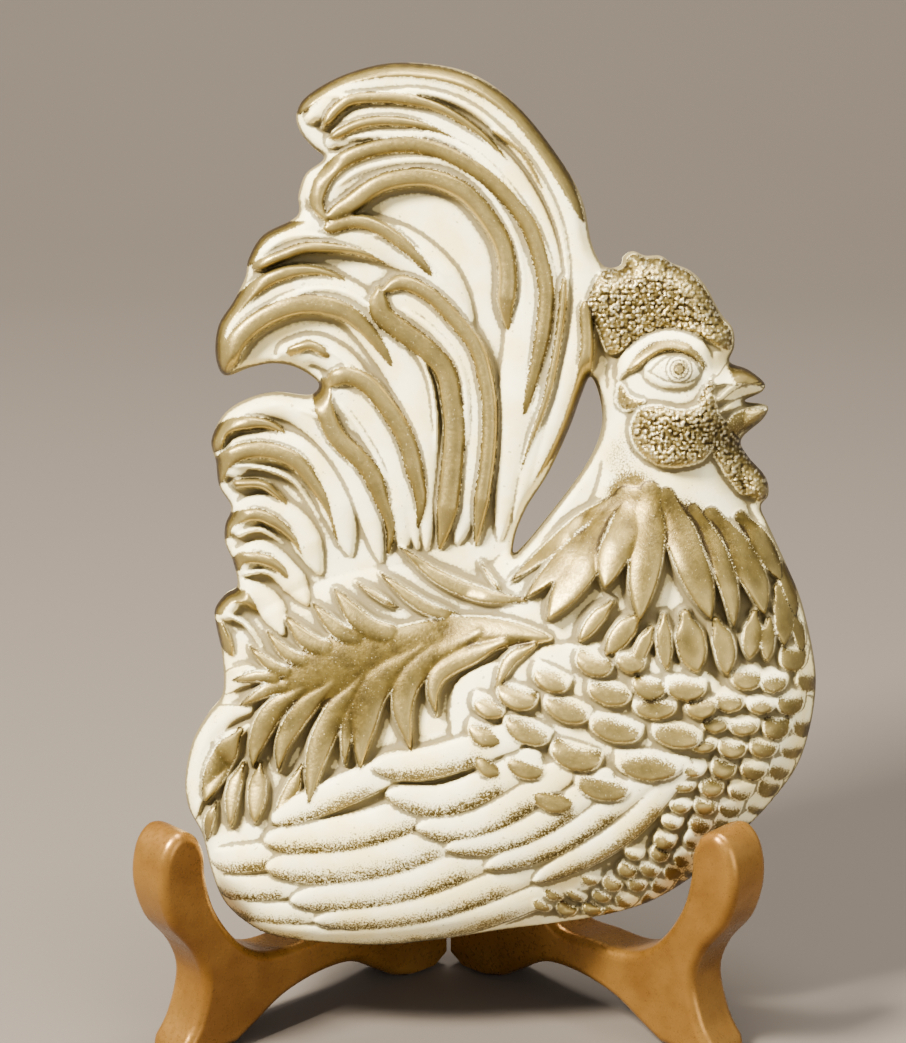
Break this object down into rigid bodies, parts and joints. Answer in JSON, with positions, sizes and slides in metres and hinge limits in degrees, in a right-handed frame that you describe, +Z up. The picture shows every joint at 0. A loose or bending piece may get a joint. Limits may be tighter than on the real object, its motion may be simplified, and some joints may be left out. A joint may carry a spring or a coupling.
{
  "type": "relief rooster plaque on folding easel",
  "caption": "Flat-backed relief rooster casting that stands in a two-board easel folding on butt hinges, with a hanging ring on its back.",
  "frame": {"origin": "on the floor, in the middle of the set's width and depth", "axes": "+Z up, the rooster's relief faces -Y, its head is towards +X"},
  "size_m": [0.226, 0.1189, 0.3134],
  "materials": {
    "casting": "painted cast resin, cream with gold rubbed over the raised feathers",
    "board": "gold paint, worn at the edges",
    "brass": "satin, lightly aged",
    "steel": "zinc plated",
    "felt": "brown felt"
  },
  "bodies": {
    "pins": {"upper_pin": "brass", "lower_pin": "brass"},
    "left_frame": {"left_board": "board", "left_upper_leaf": "brass", "left_lower_leaf": "brass", "left_upper_screws": "brass", "left_lower_screws": "brass", "left_front_pad": "felt", "left_rear_pad": "felt"},
    "right_frame": {"right_board": "board", "right_upper_leaf": "brass", "right_lower_leaf": "brass", "right_upper_screws": "brass", "right_lower_screws": "brass", "right_front_pad": "felt", "right_rear_pad": "felt"},
    "plaque": {"rooster_casting": "casting", "hanger_strap": "steel", "hanger_screws": "steel", "wall_bumpers": "felt"},
    "ring": {"hanger_ring": "steel"}
  },
  "joints": [
    {"name": "easel_fold", "type": "hinge", "parent": "pins", "child": "left_frame", "pos_m": [-0.00896, 0.02547, 0.1], "axis": [0, 0, 1], "range_deg": [0, 47]},
    {"name": "right_fold", "type": "hinge", "parent": "pins", "child": "right_frame", "pos_m": [-0.00896, 0.02547, 0.1], "axis": [0, 0, -1], "range_deg": [0, 47]},
    {"name": "plaque_lift", "type": "slide", "parent": "pins", "child": "plaque", "axis": [0, 0.2756, 0.9613], "range_m": [0, 0.15]},
    {"name": "ring_swing", "type": "hinge", "parent": "plaque", "child": "ring", "pos_m": [0.00804, 0.03912, 0.2338], "axis": [1, 0, 0], "range_deg": [-15, 120]}
  ],
  "couplings": [
    {"joint": "right_fold", "follows": "easel_fold", "ratio": 1}
  ]
}
